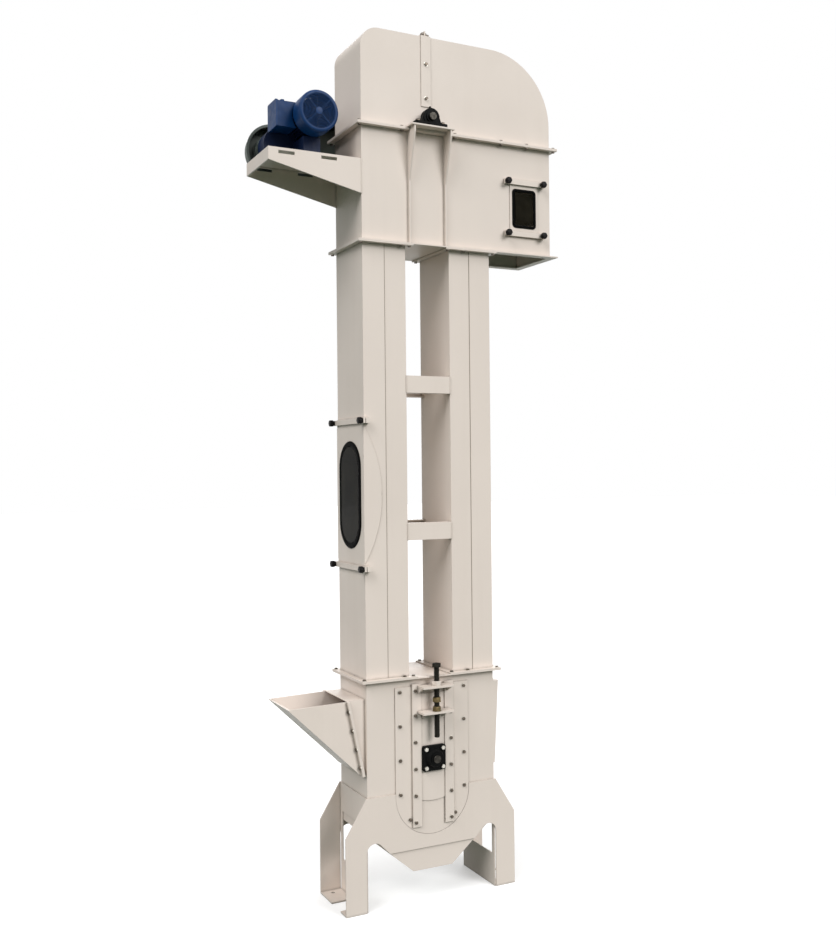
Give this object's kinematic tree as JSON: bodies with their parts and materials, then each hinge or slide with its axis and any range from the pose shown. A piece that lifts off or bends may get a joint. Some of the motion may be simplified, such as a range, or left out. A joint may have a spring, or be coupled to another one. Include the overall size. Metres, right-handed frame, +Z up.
{
  "type": "bucket elevator",
  "caption": "Upright bucket elevator with a boot on a legged stand, an inlet hopper, twin square legs, a screw take-up and a belt-driven head with a side discharge.",
  "frame": {"origin": "on the floor at the centre of the four anchor holes, which is midway between the legs and midway in depth", "axes": "+Z up along the legs, +X from the feed side to the discharge side, +Y from the front to the back"},
  "size_m": [1.23, 0.423, 3.358],
  "materials": {
    "casing_paint": "satin warm white powder coat",
    "motor_blue": "semi-gloss blue enamel",
    "gear_blue": "semi-gloss dark blue enamel on cast iron",
    "bearing_iron": "black painted casting",
    "sheave_iron": "grey-green phosphated casting with bright grooves",
    "zinc_steel": "zinc plated",
    "bright_steel": "ground bright bar",
    "pulley_steel": "mill scale with worn rims",
    "rubber": "matt black moulded rubber",
    "belt_rubber": "matt black covered belt",
    "bucket_plastic": "off-white moulded polyethylene",
    "black_plastic": "fine-grained black moulding",
    "pane": "clear pane"
  },
  "bodies": {
    "frame": {"boot_casing": "casing_paint", "inlet_hopper": "casing_paint", "stand_front_plate": "casing_paint", "stand_rear_plate": "casing_paint", "stand_web_left": "casing_paint", "stand_web_right": "casing_paint", "boot_covers": "casing_paint", "guide_rails": "casing_paint", "takeup_top_brackets": "casing_paint", "up_leg_casing": "casing_paint", "down_leg_casing": "casing_paint", "leg_ties": "casing_paint", "head_casing": "casing_paint", "throat_plate": "casing_paint", "hood_feed_half": "casing_paint", "hood_discharge_half": "casing_paint", "hood_joint_strip": "casing_paint", "head_bearing_brackets": "casing_paint", "head_bearings": "bearing_iron", "hatch_door": "casing_paint", "hatch_seal": "rubber", "hatch_glass": "pane", "leg_door": "casing_paint", "leg_door_seal": "rubber", "leg_door_glass": "pane", "clamp_bars": "casing_paint", "motor_platform": "casing_paint", "motor_body": "motor_blue", "fan_cowl": "motor_blue", "terminal_box": "motor_blue", "gearbox": "gear_blue", "belt_guard": "casing_paint", "drive_belts": "rubber", "belt_head_wrap": "belt_rubber", "buckets_down_run": "bucket_plastic", "buckets_up_run": "bucket_plastic", "casing_bolts": "zinc_steel"},
    "head_drum": {"head_shaft": "bright_steel", "head_pulley": "pulley_steel", "head_sheave": "sheave_iron"},
    "gear_output": {"drive_sheave": "sheave_iron"},
    "motor_fan": {"motor_rotor": "black_plastic"},
    "takeup": {"slide_plates": "casing_paint", "boot_bearings": "bearing_iron", "belt_boot_wrap": "belt_rubber", "boot_bucket": "bucket_plastic", "belt_up_run": "belt_rubber", "belt_down_run": "belt_rubber"},
    "boot_drum": {"boot_shaft": "bright_steel", "boot_pulley": "pulley_steel"},
    "screw_front": {"takeup_screw_front": "zinc_steel"},
    "screw_rear": {"takeup_screw_rear": "zinc_steel"},
    "knob_leg_low_front": {"leg_knob_low_front": "black_plastic"},
    "knob_leg_low_rear": {"leg_knob_low_rear": "black_plastic"},
    "knob_leg_top_front": {"leg_knob_top_front": "black_plastic"},
    "knob_leg_top_rear": {"leg_knob_top_rear": "black_plastic"},
    "knob_hatch_low_left": {"hatch_knob_low_left": "black_plastic"},
    "knob_hatch_low_right": {"hatch_knob_low_right": "black_plastic"},
    "knob_hatch_top_left": {"hatch_knob_top_left": "black_plastic"},
    "knob_hatch_top_right": {"hatch_knob_top_right": "black_plastic"}
  },
  "joints": [
    {"name": "head_spin", "type": "hinge", "parent": "frame", "child": "head_drum", "pos_m": [0, 0, 3.0105], "axis": [0, 1, 0], "continuous": true},
    {"name": "gear_output_spin", "type": "hinge", "parent": "frame", "child": "gear_output", "pos_m": [-0.514, 0, 2.908], "axis": [0, 1, 0], "continuous": true},
    {"name": "motor_spin", "type": "hinge", "parent": "frame", "child": "motor_fan", "pos_m": [-0.432, 0, 2.996], "axis": [0, 1, 0], "continuous": true},
    {"name": "takeup_slide", "type": "slide", "parent": "frame", "child": "takeup", "axis": [0, 0, 1], "range_m": [-0.05, 0.022], "deforming": ["belt_up_run", "belt_down_run"]},
    {"name": "boot_spin", "type": "hinge", "parent": "takeup", "child": "boot_drum", "pos_m": [0, 0, 0.551], "axis": [0, 1, 0], "continuous": true},
    {"name": "screw_front_turn", "type": "hinge", "parent": "takeup", "child": "screw_front", "pos_m": [0, -0.1705, 0.7], "axis": [0, 0, 1], "range_deg": [-3605, 1590]},
    {"name": "screw_rear_turn", "type": "hinge", "parent": "takeup", "child": "screw_rear", "pos_m": [0, 0.1705, 0.7], "axis": [0, 0, 1], "range_deg": [-3605, 1590]},
    {"name": "knob_leg_low_front_turn", "type": "hinge", "parent": "frame", "child": "knob_leg_low_front", "pos_m": [-0.29, -0.14, 1.29], "axis": [-1, 0, 0], "range_deg": [0, 1080]},
    {"name": "knob_leg_low_rear_turn", "type": "hinge", "parent": "frame", "child": "knob_leg_low_rear", "pos_m": [-0.29, 0.14, 1.29], "axis": [-1, 0, 0], "range_deg": [0, 1080]},
    {"name": "knob_leg_top_front_turn", "type": "hinge", "parent": "frame", "child": "knob_leg_top_front", "pos_m": [-0.29, -0.14, 1.847], "axis": [-1, 0, 0], "range_deg": [0, 1080]},
    {"name": "knob_leg_top_rear_turn", "type": "hinge", "parent": "frame", "child": "knob_leg_top_rear", "pos_m": [-0.29, 0.14, 1.847], "axis": [-1, 0, 0], "range_deg": [0, 1080]},
    {"name": "knob_hatch_low_left_turn", "type": "hinge", "parent": "frame", "child": "knob_hatch_low_left", "pos_m": [0.358, -0.14, 2.607], "axis": [0, -1, 0], "range_deg": [0, 1080]},
    {"name": "knob_hatch_low_right_turn", "type": "hinge", "parent": "frame", "child": "knob_hatch_low_right", "pos_m": [0.524, -0.14, 2.607], "axis": [0, -1, 0], "range_deg": [0, 1080]},
    {"name": "knob_hatch_top_left_turn", "type": "hinge", "parent": "frame", "child": "knob_hatch_top_left", "pos_m": [0.358, -0.14, 2.815], "axis": [0, -1, 0], "range_deg": [0, 1080]},
    {"name": "knob_hatch_top_right_turn", "type": "hinge", "parent": "frame", "child": "knob_hatch_top_right", "pos_m": [0.524, -0.14, 2.815], "axis": [0, -1, 0], "range_deg": [0, 1080]}
  ],
  "couplings": [
    {"joint": "boot_spin", "follows": "head_spin", "ratio": 1},
    {"joint": "gear_output_spin", "follows": "head_spin", "ratio": 1.4286},
    {"joint": "motor_spin", "follows": "head_spin", "ratio": 14.286},
    {"joint": "screw_front_turn", "follows": "takeup_slide", "rad_per_m": 1256.6},
    {"joint": "screw_rear_turn", "follows": "takeup_slide", "rad_per_m": 1256.6}
  ]
}
